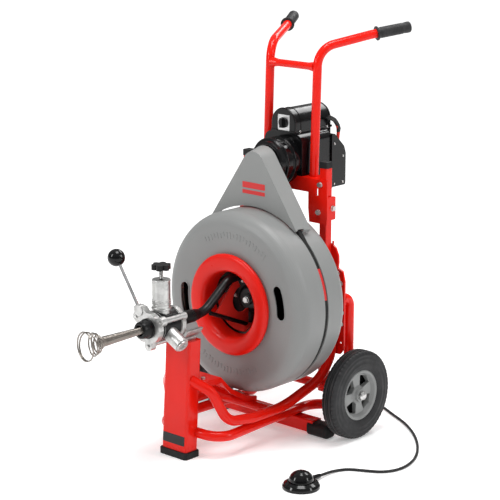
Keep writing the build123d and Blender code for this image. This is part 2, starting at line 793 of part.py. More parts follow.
def belt_guard_block(inset, front):
    """The guard's A-shaped body, widest at the back, with its walls moved in by inset."""
    radius = 50.0 - inset
    tilt = radians(29.0)
    top = (radius * cos(tilt), PULLEY_Z + radius * sin(tilt))
    tip = (171.0 - inset, AXIS_Z + 218.0)
    foot = (tip[0] - 44, tip[1] - 48)
    outline = [
        ThreePointArc((-top[0], top[1]), (0, PULLEY_Z + radius), top),
        Line(top, tip),
        Line(tip, foot),
        Line(foot, (-foot[0], foot[1])),
        Line((-foot[0], foot[1]), (-tip[0], tip[1])),
        Line((-tip[0], tip[1]), (-top[0], top[1])),
    ]
    plane = Plane(origin=(0, GUARD_BACK, 0), x_dir=(1, 0, 0), z_dir=(0, -1, 0))
    return extrude(plane * make_face(outline), GUARD_BACK - front, taper=GUARD_DRAFT)


def belt_guard():
    """Hollow cover over the belt, open at the back and along its lower edge."""
    outer = belt_guard_block(0, GUARD_FRONT)
    inner = belt_guard_block(GUARD_WALL, GUARD_FRONT + GUARD_WALL)
    clear = rod((0, 100, AXIS_Z), (0, 200, AXIS_Z), 264)
    shell = outer - inner - clear - belt_passage()
    return shell.solids().sort_by(SortBy.VOLUME)[-1]


LUG_OUT = 165.0
LUG_BACK = 275.0


def carriage_bracket():
    """Bracket that clamps to the masts and carries motor, guard and handle."""
    front = SUPPORT_BACK - GAP
    plate = slab_xz([
        (-164, 600), (-100, 600), (-96, 640), (-96, 685), (96, 685), (96, 640), (100, 600),
        (164, 600), (164, 725), (-164, 725)], CARRIAGE_FRONT, front)
    shelf = block(-130, 130, CARRIAGE_FRONT, 292, 719, CARRIAGE_TOP)
    back = block(-130, 130, 288, 292, 690, CARRIAGE_TOP)
    bracket = plate + shelf + back
    for side in (1, -1):
        x0 = MAST_X + MAST_SIDE / 2 + GAP
        lug = block(x0, LUG_OUT, CARRIAGE_FRONT, LUG_BACK, 611, 676)
        lug = fillet(lug.edges().filter_by(Axis.X), 3)
        bracket = bracket + (lug if side > 0 else other_side(lug))
        slot = block(124, 132, CARRIAGE_FRONT - 1, front + 1, 678, 699)
        bracket = bracket - (slot if side > 0 else other_side(slot))
    bracket = bracket - rod((0, 180, PULLEY_Z), (0, 245, PULLEY_Z), MOTOR_R)
    return bracket - motor_body_block(0)


HANDLE = [(POST_X, POST_Y, CARRIAGE_TOP), (POST_X, 285, 1082), (158, 433, 1113.4), (215, 531.5, 1130.7)]
HANDLE_RADII = [62, 120]
GRIP_START = (165, 445, 1115.5)
GRIP_END = (216.5, 534, 1131.2)
CROSSBAR_Z = 1030.0


def handle_post():
    tube = bent_tube(HANDLE, HANDLE_RADII, HANDLE_R, 2.2)
    return tube - block(60, 120, 230, 320, CARRIAGE_TOP - 20, CARRIAGE_TOP)


def handle_solid():
    return bent_bar(HANDLE, HANDLE_RADII, HANDLE_R)


def handle_crossbar(right, left):
    y = POST_Y + (CROSSBAR_Z - CARRIAGE_TOP) * (285 - POST_Y) / (1082 - CARRIAGE_TOP)
    half = [(0, 0), (0, 10.5), (56, 10.5), (80, 14.5), (80, 0)]
    right_half = turned_x(half, y, CROSSBAR_Z)
    return right_half + other_side(right_half) - right - left


def grips(right_handle):
    start = Vector(*GRIP_START)
    end = Vector(*GRIP_END)
    line = (end - start).normalized()
    body = rod(GRIP_START, GRIP_END, 16)
    flange = rod(GRIP_START, tuple(start + line * 5), 20.5)
    cap = fillet((body + flange).faces().sort_by(Axis.Y)[-1].edges(), 4)
    grip = cap - right_handle
    grip = grip.solids().sort_by(SortBy.VOLUME)[-1]
    return [grip, other_side(grip)]


HOOK_X = 60.0


def cord_hook():
    """Hook for the wound mains cord behind the motor."""
    x = HOOK_X
    points = [(x, 404, 780), (x, 413, 836), (x, 396, 864), (x, 370, 876)]
    hook = bent_bar(points, [20, 22], 5) + rod((x, 402, 790), (x, 411, 799.4), 11)
    return (hook - rear_box()).solids().sort_by(SortBy.VOLUME)[-1]


def drive_pulley():
    """Grooved pulley and its shaft."""
    return turned_y([
        (118.5, 0), (118.5, 30), (120, 33), (GROOVE_FRONT, 33), (GROOVE_FRONT, PULLEY_R),
        (GROOVE_BACK, PULLEY_R), (GROOVE_BACK, 33), (141, 33), (143, 12), (236, 12),
        (236, 0)], z=PULLEY_Z)


# ---- wheels -------------------------------------------------------------------------
RIM_HOLES = 4


def tyre():
    a = TYRE_IN
    b = TYRE_OUT
    return turned_x([
        (a + 5, RIM_R), (a + 1, 84), (a, 96), (a, 112), (a + 4, 120), (a + 10, 125),
        (a + 17, WHEEL_R), (b - 17, WHEEL_R), (b - 10, 125), (b - 4, 120), (b, 112),
        (b, 96), (b - 1, 84), (b - 5, RIM_R)], WHEEL_Y, WHEEL_R)


def rim():
    """Dished plastic rim with four fan-shaped openings."""
    disc = turned_x([
        (247, AXLE_R + 0.08), (247, 18), (262, 22), (264, 58), (250, 62), (250, RIM_R),
        (287, RIM_R), (289, 69), (286, 64), (276, 58), (276, 26), (282, 20), (289, 18),
        (289, AXLE_R + 0.08)], WHEEL_Y, WHEEL_R)
    for i in range(RIM_HOLES):
        angle = 54 + i * 360 / RIM_HOLES
        corners = []
        for radius, turn in ((27, -19), (56, -27), (60, 0), (56, 27), (27, 19)):
            a = radians(angle + turn)
            corners.append((WHEEL_Y + radius * cos(a), WHEEL_R + radius * sin(a)))
        hole = slab_yz(corners, 255, 295)
        disc = disc - fillet(hole.edges().filter_by(Axis.X), 3)
    return disc


def axle():
    return rod((-AXLE_END + 4, WHEEL_Y, WHEEL_R), (AXLE_END - 4, WHEEL_Y, WHEEL_R), AXLE_R)


# ---- foot switch --------------------------------------------------------------------
GLAND_END = (406.5, -72.0, 9.0)
GLAND_START = (409.5, -108.0, 11.5)


def foot_switch_base():
    """Weighted base with the tapered strain relief of its hose."""
    base = turned_z([
        (0, 0), (49, 0), (50, 2), (50, 8), (46, 14), (37, 19), (34.5, 19), (33.4, 18),
        (33.4, 9), (0, 9)], FOOT_X, FOOT_Y)
    line = Vector(*GLAND_END) - Vector(*GLAND_START)
    plane = Plane(origin=GLAND_START, z_dir=line)
    return base + plane * Cone(8.5, 6.0, line.length, align=(Align.CENTER, Align.CENTER, Align.MIN))


def foot_dome():
    dome = [(0, 16.5), (33, 16.5), (33, 22), (31.5, 29), (28, 35.5), (22, 41), (14, 45), (6, 46.6),
            (0, 47)]
    return turned_z(dome, FOOT_X, FOOT_Y)


FOOT_HOSE = [
    GLAND_END, (403.5, -36, 6.5), (406, -4, 4.3), (424, 28, 4.2), (465, 48, 4.2), (510, 74, 4.2),
    (530, 128, 4.2), (514, 204, 4.2), (464, 286, 4.2), (392, 364, 4.2), (312, 424, 4.2),
    (238, 460, 4.2), (166, 500, 4.2), (98, 508, 4.2), (56, 478, 4.2), (38, 436, 22),
    (33, 412, 82), (32, 404, 180), (31.6, 401.4, 290), (31.5, 400.6, 400), (31.7, 400.2, 500),
    (32, 400, 590), (HOSE_X, HOSE_Y, 654),
]


def hose_radii(points):
    """Bend radii that use 0.45 of the shorter run beside each point."""
    radii = []
    for before, here, after in zip(points, points[1:], points[2:]):
        run_in = Vector(*here) - Vector(*before)
        run_out = Vector(*after) - Vector(*here)
        turn = radians(run_in.get_angle(run_out))
        radii.append(0.45 * min(run_in.length, run_out.length) / tan(turn / 2))
    return radii


def foot_hose():
    radii = hose_radii(FOOT_HOSE)
    tube = bent_bar(FOOT_HOSE, radii, HOSE_R)
    path = FilletPolyline(*FOOT_HOSE, radius=radii)
    ideal = pi * HOSE_R ** 2 * path.length
    print("hose radii", [round(r) for r in radii], "smallest in diameters",
          round(min(radii) / (2 * HOSE_R), 1))
    print("hose length", round(path.length), "volume ratio", round(tube.volume / ideal, 4))
    return tube


# ---- fasteners ----------------------------------------------------------------------
def frame_bolts():
    """Bolts, nuts and washers of the frame."""
    pieces = []
    axle_bar = axle()
    for side in (1, -1):
        nut = turned_x([(289.6, 0), (289.6, 13), (296, 13), (300, 10), (AXLE_END, 5),
                        (AXLE_END, 0)], WHEEL_Y, WHEEL_R)
        washer = turned_x([(239, 0), (239, 17), (246.4, 17), (246.4, 0)], WHEEL_Y, WHEEL_R)
        for piece in (nut - axle_bar, washer - axle_bar):
            pieces.append(piece if side > 0 else other_side(piece))
        for x, z in GUSSET_BOLTS:
            outboard = x > MAST_X + MAST_SIDE
            y = GUSSET_Y if outboard else GUSSET_Y + GUSSET_T
            pieces.append(bolt_head((side * x, y, z), (0, -1 if outboard else 1, 0), 12, 5))
        for z in SUPPORT_BOLTS:
            pieces.append(bolt_head((side * MAST_X, SUPPORT_BACK - SUPPORT_T, z), (0, -1, 0), 12, 4))
    for x in (-14, 14):
        pieces.append(bolt_head((x, -106, 200), (0, 0, 1), 11, 4))
    washer = turned_y([(SPINDLE_FRONT - 3, 0), (SPINDLE_FRONT - 3, 14.5), (SPINDLE_FRONT, 14.5),
                       (SPINDLE_FRONT, 0)])
    pieces.append(washer + bolt_head((0, SPINDLE_FRONT - 3, AXIS_Z), (0, -1, 0), 15, 6))
    return pieces


def carriage_bolts():
    """Clamp bolts of the motor carriage."""
    pieces = []
    for side in (1, -1):
        for x, z in ((139, 711), (134, 632)):
            pieces.append(bolt_head((side * x, CARRIAGE_FRONT, z), (0, -1, 0), 13, 5))
        pieces.append(bolt_head((side * LUG_OUT, 262, 644), (side, 0, 0), 13, 5))
    return pieces


def main():
    os.makedirs("parts", exist_ok=True)
    nodes = {}
    lower = rail(LOWER_RAIL, LOWER_RADII)
    upper = rail(UPPER_RAIL, UPPER_RADII)
    nodes["front_column"] = front_column()
    nodes["lower_rail_right"] = lower
    nodes["lower_rail_left"] = other_side(lower)
    nodes["upper_rail_right"] = upper
    nodes["upper_rail_left"] = other_side(upper)
    nodes["cross_tubes"] = cross_tubes([upper, other_side(upper)], [lower, other_side(lower)])
    nodes["drum_tray"] = drum_tray()
    nodes["rubber_caps"] = group([front_foot()] + rear_feet() + mast_caps())
    nodes["masts"] = group(masts())
    nodes["gussets"] = group(gussets())
    nodes["drum_support"] = drum_support()
    nodes["drum_spindle"] = drum_spindle()
    nodes["drive_belt"] = drive_belt()
    nodes["drum_front"] = drum_front()
    nodes["drum_rear"] = drum_rear()
    nodes["drum_funnel"] = drum_funnel()
    nodes["drum_hub"] = drum_hub()
    nodes["drum_bearings"] = group(drum_bearings())
    nodes["stored_cable"] = group(stored_cable())
    nodes["guide_tube"] = guide_tube()
    nodes["guide_frame"] = guide_frame()
    nodes["guide_web"] = guide_web()
    nodes["drain_cable"] = drain_cable()
    nodes["cable_bulb"] = cable_bulb()
    nodes["feed_bracket"] = feed_bracket()
    nodes["feed_housing"] = feed_housing()
    nodes["feed_caps"] = group(feed_barrel_caps())
    nodes["feed_ring"] = feed_ring()
    nodes["feed_nose"] = feed_nose()
    nodes["feed_lever"] = feed_lever()
    nodes["lever_ball"] = lever_ball()
    for i, angle in enumerate(ROLLER_ANGLES):
        nodes[f"roller_carrier_{i + 1}"] = roller_carrier(angle)
    nodes["tension_knob"] = tension_knob()
    nodes["tension_plunger"] = tension_plunger()
    nodes["tension_spring"] = tension_spring()
    nodes["motor_housing"] = motor_housing()
    nodes["switch_housing"] = switch_housing()
    nodes["switch_knob"] = switch_knob()
    nodes["rear_box"] = rear_box()
    nodes["cord_inlets"] = group(cord_inlets())
    nodes["belt_guard"] = belt_guard()
    nodes["carriage_bracket"] = carriage_bracket()
    post = handle_post()
    solid = handle_solid()
    nodes["handle_right"] = post
    nodes["handle_left"] = other_side(post)
    nodes["handle_crossbar"] = handle_crossbar(solid, other_side(solid))
    nodes["grips"] = group(grips(solid))
    nodes["cord_hook"] = cord_hook()
    nodes["drive_pulley"] = drive_pulley()
    nodes["tyre_right"] = tyre()
    nodes["tyre_left"] = other_side(tyre())
    nodes["rim_right"] = rim()
    nodes["rim_left"] = other_side(rim())
    nodes["axle"] = axle()
    nodes["foot_switch_base"] = foot_switch_base()
    nodes["foot_dome"] = foot_dome()
    nodes["foot_hose"] = foot_hose()
    nodes["frame_bolts"] = group(frame_bolts())
    nodes["carriage_bolts"] = group(carriage_bolts())
    for name, shape in nodes.items():
        export_step(shape, f"parts/{name}.step")
    print(len(nodes), "nodes")


main()
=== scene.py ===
"""Blender scene of a drum drain cleaning machine, built around its CAD frame. Metres, +Z up."""
import json
from math import cos, pi, radians, sin

import bmesh
import bpy
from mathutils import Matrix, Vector


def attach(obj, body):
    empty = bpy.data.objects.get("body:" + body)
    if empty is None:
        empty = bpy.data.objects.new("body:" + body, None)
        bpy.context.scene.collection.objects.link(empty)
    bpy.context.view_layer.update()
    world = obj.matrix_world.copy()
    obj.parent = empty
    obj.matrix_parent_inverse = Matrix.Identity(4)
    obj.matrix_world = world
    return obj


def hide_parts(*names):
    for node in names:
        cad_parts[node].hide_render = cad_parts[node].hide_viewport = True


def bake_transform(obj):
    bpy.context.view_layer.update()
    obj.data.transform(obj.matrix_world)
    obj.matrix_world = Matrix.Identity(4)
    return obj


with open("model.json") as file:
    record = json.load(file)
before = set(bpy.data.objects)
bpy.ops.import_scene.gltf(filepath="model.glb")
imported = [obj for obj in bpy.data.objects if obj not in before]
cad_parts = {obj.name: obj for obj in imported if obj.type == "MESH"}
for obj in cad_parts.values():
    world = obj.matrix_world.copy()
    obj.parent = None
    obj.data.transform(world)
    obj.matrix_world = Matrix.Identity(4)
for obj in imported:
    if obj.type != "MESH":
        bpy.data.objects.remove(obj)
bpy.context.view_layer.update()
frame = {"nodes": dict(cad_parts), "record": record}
nodes = frame["nodes"]

MM = 0.001
AXIS_Z = 385.0
FORWARD = Vector((0, -1, 0))
BACKWARD = Vector((0, 1, 0))
UP = Vector((0, 0, 1))


# ---- materials ----------------------------------------------------------------------
def new_shader(name, color, rough, metal=0.0, coat=0.0, specular=0.5):
    """A material and its shader, with what is the same all over the surface."""
    mat = bpy.data.materials.new(name)
    mat.use_nodes = True
    shader = mat.node_tree.nodes["Principled BSDF"]
    shader.inputs["Base Color"].default_value = (*color, 1)
    shader.inputs["Roughness"].default_value = rough
    shader.inputs["Metallic"].default_value = metal
    shader.inputs["Coat Weight"].default_value = coat
    shader.inputs["Coat Roughness"].default_value = 0.08
    shader.inputs["Specular IOR Level"].default_value = specular
    return mat, shader


def add_node(mat, kind, **settings):
    """A new shader node with these settings."""
    made = mat.node_tree.nodes.new(kind)
    for key, value in settings.items():
        setattr(made, key, value)
    return made


def link(mat, out_socket, in_socket):
    """Joins two sockets of a material."""
    mat.node_tree.links.new(out_socket, in_socket)


def place(mat):
    """Position on the object at rest, in metres."""
    return add_node(mat, "ShaderNodeTexCoord").outputs["Object"]


def noise(mat, scale, detail=3.0, rough=0.5, stretch=None):
    """Noise whose features are about 1/scale metres; stretch scales the axes."""
    made = add_node(mat, "ShaderNodeTexNoise")
    made.inputs["Scale"].default_value = scale
    made.inputs["Detail"].default_value = detail
    made.inputs["Roughness"].default_value = rough
    where = place(mat)
    if stretch:
        mapping = add_node(mat, "ShaderNodeMapping")
        mapping.inputs["Scale"].default_value = stretch
        link(mat, where, mapping.inputs["Vector"])
        where = mapping.outputs["Vector"]
    link(mat, where, made.inputs["Vector"])
    return made.outputs["Fac"]


def remap(mat, value, low, high, to_low, to_high):
    """A value moved from one range to another, and held at the ends."""
    made = add_node(mat, "ShaderNodeMapRange")
    for key, number in zip(("From Min", "From Max", "To Min", "To Max"), (low, high, to_low, to_high)):
        made.inputs[key].default_value = number
    link(mat, value, made.inputs["Value"])
    return made.outputs["Result"]


def mix_colors(mat, factor, first, second):
    """A colour between two colours."""
    made = add_node(mat, "ShaderNodeMix", data_type="RGBA")
    link(mat, factor, made.inputs["Factor"])
    made.inputs["A"].default_value = (*first, 1)
    made.inputs["B"].default_value = (*second, 1)
    return made.outputs["Result"]


def mottle(mat, shader, color, spread, scale):
    """Colour that wanders a little lighter and darker, for real paint and plastic."""
    dark = [c * (1 - spread) for c in color]
    light = [min(1, c * (1 + spread)) for c in color]
    result = mix_colors(mat, remap(mat, noise(mat, scale), 0.35, 0.65, 0, 1), dark, light)
    link(mat, result, shader.inputs["Base Color"])


def uneven_gloss(mat, shader, low, high, scale, stretch=None):
    """Roughness that wanders between low and high."""
    value = remap(mat, noise(mat, scale, 4.0, 0.6, stretch), 0.3, 0.7, low, high)
    link(mat, value, shader.inputs["Roughness"])


def bump(mat, shader, height, strength, distance, normal):
    """Fine relief laid over a normal; distance is its depth in metres."""
    made = add_node(mat, "ShaderNodeBump")
    made.inputs["Strength"].default_value = strength
    made.inputs["Distance"].default_value = distance
    link(mat, height, made.inputs["Height"])
    link(mat, normal, made.inputs["Normal"])
    link(mat, made.outputs["Normal"], shader.inputs["Normal"])


def soft_edges(mat, radius):
    """Normals rounded over sharp edges, as on real castings and sheet metal."""
    made = add_node(mat, "ShaderNodeBevel", samples=4)
    made.inputs["Radius"].default_value = radius
    return made.outputs["Normal"]


def powder_coat(name, color, rough=0.2):
    """Gloss powder coat with a little orange peel and handling marks."""
    mat, shader = new_shader(name, color, rough, coat=0.08, specular=0.2)
    mottle(mat, shader, color, 0.03, 9)
    uneven_gloss(mat, shader, rough - 0.05, rough + 0.07, 22)
    bump(mat, shader, noise(mat, 420, 2.0), 0.1, 0.0002, soft_edges(mat, 0.001))
    return mat


def moulded_plastic(name, color, rough, grain=0.3, specular=0.32):
    """Satin moulded plastic with a fine grain and slight flow marks."""
    mat, shader = new_shader(name, color, rough, specular=specular)
    mottle(mat, shader, color, 0.03, 6)
    uneven_gloss(mat, shader, rough - 0.06, rough + 0.08, 14)
    bump(mat, shader, noise(mat, 1500, 2.0, 0.6), grain, 0.00012, soft_edges(mat, 0.001))
    return mat


def gloss_black(name, rough, color=(0.003, 0.003, 0.0035), coat=0.1):
    """Deep black enamel or polished plastic."""
    mat, shader = new_shader(name, color, rough, coat=coat, specular=0.26)
    mottle(mat, shader, color, 0.15, 25)
    uneven_gloss(mat, shader, rough - 0.04, rough + 0.1, 30)
    bump(mat, shader, noise(mat, 500, 2.0), 0.1, 0.0002, soft_edges(mat, 0.0012))
    return mat


def rubber(name, color, rough=0.55):
    """Black rubber with a thin film of dust."""
    mat, shader = new_shader(name, color, rough, specular=0.25)
    dusty = [c * 1.7 + 0.004 for c in color]
    dust = remap(mat, noise(mat, 18, 5.0, 0.65), 0.45, 0.75, 0, 1)
    link(mat, mix_colors(mat, dust, color, dusty), shader.inputs["Base Color"])
    uneven_gloss(mat, shader, rough - 0.1, rough + 0.12, 35)
    bump(mat, shader, noise(mat, 1100, 3.0, 0.6), 0.35, 0.00015, soft_edges(mat, 0.0008))
    return mat


def cast_metal(name, color=(0.6, 0.6, 0.59), rough=0.36):
    """Die-cast aluminium: pebbled skin, darker in random patches."""
    mat, shader = new_shader(name, color, rough, metal=0.9)
    stained = [c * 0.72 for c in color]
    stain = remap(mat, noise(mat, 45, 5.0, 0.65), 0.42, 0.7, 0, 1)
    link(mat, mix_colors(mat, stain, color, stained), shader.inputs["Base Color"])
    uneven_gloss(mat, shader, rough - 0.08, rough + 0.12, 60)
    bump(mat, shader, noise(mat, 900, 4.0, 0.65), 0.35, 0.0003, soft_edges(mat, 0.0012))
    return mat


def bright_metal(name, color, rough, streaks=None):
    """Plated or drawn metal; streaks stretches its marks along an axis."""
    mat, shader = new_shader(name, color, rough, metal=1.0)
    mottle(mat, shader, color, 0.08, 40)
    uneven_gloss(mat, shader, max(0.03, rough - 0.07), rough + 0.08, 60, streaks)
    bump(mat, shader, noise(mat, 400, 3.0, 0.5, streaks), 0.12, 0.0001, soft_edges(mat, 0.0006))
    return mat


RED = (0.74, 0.009, 0.003)
materials = {
    "frame_red": powder_coat("frame_red", RED),
    "web_red": powder_coat("web_red", (0.52, 0.022, 0.016), 0.3),
    "hook_red": powder_coat("hook_red", (0.66, 0.03, 0.018), 0.3),
    "funnel_red": moulded_plastic("funnel_red", (0.74, 0.010, 0.004), 0.32, 0.12, specular=0.24),
    "drum_grey": moulded_plastic("drum_grey", (0.245, 0.250, 0.247), 0.36),
    "guard_grey": moulded_plastic("guard_grey", (0.255, 0.260, 0.256), 0.38),
    "rim_grey": moulded_plastic("rim_grey", (0.27, 0.275, 0.272), 0.36),
    "black_plastic": moulded_plastic("black_plastic", (0.005, 0.005, 0.0055), 0.28, specular=0.24),
    "motor_black": gloss_black("motor_black", 0.17),
    "black_steel": gloss_black("black_steel", 0.3, (0.004, 0.004, 0.0045), 0.0),
    "black_gloss": gloss_black("black_gloss", 0.08),
    "black_rubber": rubber("black_rubber", (0.007, 0.007, 0.0075)),
    "belt_rubber": rubber("belt_rubber", (0.012, 0.012, 0.012), 0.6),
    "grip_rubber": rubber("grip_rubber", (0.018, 0.018, 0.019), 0.5),
    "tyre_rubber": rubber("tyre_rubber", (0.019, 0.019, 0.020), 0.52),
    "hose_rubber": rubber("hose_rubber", (0.014, 0.014, 0.014), 0.42),
    "cast_aluminium": cast_metal("cast_aluminium"),
    "steel": bright_metal("steel", (0.56, 0.56, 0.55), 0.28),
    "chrome": bright_metal("chrome", (0.82, 0.82, 0.83), 0.08),
    "cable_steel": bright_metal("cable_steel", (0.29, 0.264, 0.238), 0.34),
    "cable_core": bright_metal("cable_core", (0.03, 0.028, 0.026), 0.6),
    "label_black": moulded_plastic("label_black", (0.016, 0.016, 0.017), 0.3, 0.1),
    "label_white": moulded_plastic("label_white", (0.62, 0.62, 0.60), 0.4, 0.1),
    "label_red": moulded_plastic("label_red", (0.62, 0.03, 0.03), 0.42, 0.1),
    "label_silver": bright_metal("label_silver", (0.62, 0.62, 0.62), 0.34, (1, 1, 12)),
}

slot_of = {part["node"]: part["material_slot"] for part in frame["record"]["subparts"]}
for node_name, slot_name in slot_of.items():
    mesh = nodes[node_name].data
    mesh.materials.clear()
    mesh.materials.append(materials[slot_name])


# ---- mesh helpers; outlines and positions are in millimetres ---------------------------
def frame_axes(direction):
    """This direction at unit length, and two directions square to it."""
    direction = Vector(direction).normalized()
    helper = UP if abs(direction.z) < 0.9 else Vector((1, 0, 0))
    first = direction.cross(helper).normalized()
    return direction, first, direction.cross(first)


def rings_mesh(name, rings, closed_path):
    """A skin over rings of points, each with the same count; an open path is capped."""
    mesh = bpy.data.meshes.new(name)
    count = len(rings[0])
    points = [tuple(Vector(p) * MM) for ring in rings for p in ring]
    faces = []
    for i in range(len(rings) if closed_path else len(rings) - 1):
        a, b = i * count, (i + 1) % len(rings) * count
        for j in range(count):
            k = (j + 1) % count
            faces.append((a + j, a + k, b + k, b + j))
    if not closed_path:
        faces.append(tuple(reversed(range(count))))
        faces.append(tuple(range((len(rings) - 1) * count, len(rings) * count)))
    mesh.from_pydata(points, [], faces)
    tidy_normals(mesh)
    return mesh


def tidy_normals(mesh):
    """Turns every face outwards."""
    work = bmesh.new()
    work.from_mesh(mesh)
    bmesh.ops.recalc_face_normals(work, faces=work.faces)
    work.to_mesh(mesh)
    work.free()


def turned(name, outline, origin, direction, steps=72):
    """A turned body: outline is a closed loop of (along, radius) pairs."""
    direction, first, second = frame_axes(direction)
    rings = []
    for i in range(steps):
        angle = 2 * pi * i / steps
        out = first * cos(angle) + second * sin(angle)
        rings.append([Vector(origin) + direction * a + out * r for a, r in outline])
    return rings_mesh(name, rings, True)


def wire(name, points, radius, sides=8, closed=False):
    """A round wire along points, with frames that don't twist; radius is a number or a list."""
    points = [Vector(p) for p in points]
    count = len(points)
    rings = []
    side = None
    for i, here in enumerate(points):
        after = points[(i + 1) % count] if closed or i < count - 1 else here
        before = points[i - 1] if closed or i > 0 else here
        along = (after - before).normalized()
        if side is None:
            side = frame_axes(along)[1]
        side = (side - along * side.dot(along)).normalized()
        across = along.cross(side)
        size = radius[i] if hasattr(radius, "__len__") else radius
        rings.append([here + (side * cos(2 * pi * j / sides) + across * sin(2 * pi * j / sides)) * size
                      for j in range(sides)])
    return rings_mesh(name, rings, closed)


def smoothed(outline, rounds):
    """Open line with its corners cut, which turns a few points into a smooth curve."""
    for _ in range(rounds):
        cut = []
        for a, b in zip(outline, outline[1:]):
            cut.append(tuple(p * 0.75 + q * 0.25 for p, q in zip(a, b)))
            cut.append(tuple(p * 0.25 + q * 0.75 for p, q in zip(a, b)))
        outline = [outline[0]] + cut + [outline[-1]]
    return outline


def slab(name, corners, thickness):
    """A flat plate: corners in space, thickened towards the side they turn about."""
    corners = [Vector(c) for c in corners]
    normal = (corners[1] - corners[0]).cross(corners[2] - corners[1]).normalized()
    far = [c + normal * thickness for c in corners]
    return rings_mesh(name, [corners, far], False)


def rounded_rectangle(centre, across, up, width, height, radius, per_corner=5):
    """Corners of a rectangle with round corners, in the plane of across and up."""
    centre, across, up = Vector(centre), Vector(across).normalized(), Vector(up).normalized()
    points = []
    for i, (sx, sy) in enumerate(((1, 1), (-1, 1), (-1, -1), (1, -1))):
        for j in range(per_corner + 1):
            angle = pi / 2 * (i + j / per_corner)
            x = sx * (width / 2 - radius) + radius * cos(angle)
            y = sy * (height / 2 - radius) + radius * sin(angle)
            points.append(centre + across * x + up * y)
    return points


def joined(name, meshes):
    """Several meshes as one."""
    work = bmesh.new()
    for part in meshes:
        work.from_mesh(part)
    mesh = bpy.data.meshes.new(name)
    work.to_mesh(mesh)
    work.free()
    return mesh


def piece(mesh, body, slot, replaced=(), bevel=0.0, sharp=38, material=None):
    """Puts a mesh in the scene as a finished piece that rides on a body."""
    obj = bpy.data.objects.new(mesh.name, mesh)
    bpy.context.collection.objects.link(obj)
    mesh.materials.append(materials[material or slot])
    mesh.polygons.foreach_set("use_smooth", [True] * len(mesh.polygons))
    mesh.set_sharp_from_angle(angle=radians(sharp))
    if bevel:
        edge = obj.modifiers.new("edge", "BEVEL")
        edge.width = bevel * MM
        edge.segments = 2
        edge.angle_limit = radians(sharp)
        edge.harden_normals = True
    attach(obj, body)
    if replaced:
        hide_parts(*replaced)


# ---- drain cable and its bulb head ---------------------------------------------------
CABLE_R = 10.0
COIL_WIRE_R = 1.6
CABLE_BACK_Y = -106.0
CABLE_TIP_Y = -474.0
CORE_LENGTH = 360.0
BULB_WIRE_R = 2.1
BULB_TURNS = 5.4
BULB_START_ANGLE = 2.4


def on_axis(radius, angle, y):
    """A point at this radius and angle round the cable's axis."""
    return Vector((radius * cos(angle), y, AXIS_Z + radius * sin(angle)))


def between(table, x):
    """Straight-line reading of a table of (x, value) pairs, smoothed at its corners."""
    for (x0, v0), (x1, v1) in zip(table, table[1:]):
        if x <= x1:
            part = max(0.0, (x - x0) / (x1 - x0))
            part = part * part * (3 - 2 * part)
            return v0 + (v1 - v0) * part
    return table[-1][1]


def drain_cable():
    """Closely wound spring steel, flared a little towards the head."""
    pitch = 2 * COIL_WIRE_R * 1.02
    turns = (CABLE_BACK_Y - CABLE_TIP_Y) / pitch
    per_turn = 26
    points = []
    flare = [(0, 15), (10, 14), (54, 12.6), (103, 11.4), (136, CABLE_R), (400, CABLE_R)]
    for i in range(int(turns * per_turn)):
        y = CABLE_BACK_Y - pitch * i / per_turn
        outer = between(flare, y - CABLE_TIP_Y)
        points.append(on_axis(outer - COIL_WIRE_R, 2 * pi * i / per_turn, y))
    coil = wire("cable_coil", points, COIL_WIRE_R, 8)
    piece(coil, "cable", "cable_steel", ["drain_cable"], sharp=80)
    core_r = CABLE_R - 3
    outline = [(0, 0.5), (0, core_r), (CORE_LENGTH, core_r), (CORE_LENGTH, 0.5)]
    core = turned("cable_core", outline, (0, CABLE_BACK_Y, AXIS_Z), FORWARD, 32)
    piece(core, "cable", "cable_steel", material="cable_core")


def cable_bulb():
    """Spring wire that opens out of the cable into a bulb, with a wide loop at its tip."""
    width = [(0, 13), (0.7, 18), (1.4, 25), (2.4, 28), (3.4, 30), (4.3, 38), (5.4, 38)]
    reach = [(0, 3), (0.7, -4), (1.4, -11), (2.4, -18), (3.4, -26), (4.3, -50), (5.4, -54)]
    lean = [(0, 0), (1.4, 7), (2.4, 11), (4.3, 9), (5.4, 8)]
    per_turn = 48
    points = []
    for i in range(int(BULB_TURNS * per_turn) + 1):
        turn = i / per_turn
        angle = 2 * pi * turn + BULB_START_ANGLE
        y = CABLE_TIP_Y + between(reach, turn) - between(lean, turn) * cos(angle)
        points.append(on_axis(between(width, turn), angle, y))
    head = wire("bulb_head", points, BULB_WIRE_R, 10)
    piece(head, "cable", "cable_steel", ["cable_bulb"], sharp=80)


# ---- wheels ---------------------------------------------------------------------------
WHEEL_X = 268.0
WHEEL_Y = 248.0
WHEEL_R = 127.0
TREAD_BLOCKS = 56
NOTCH_DEPTH = 2.2
# where the painted-shade discs behind the wheel openings sit
RIM_SHADOW_DISC_X = 256.0


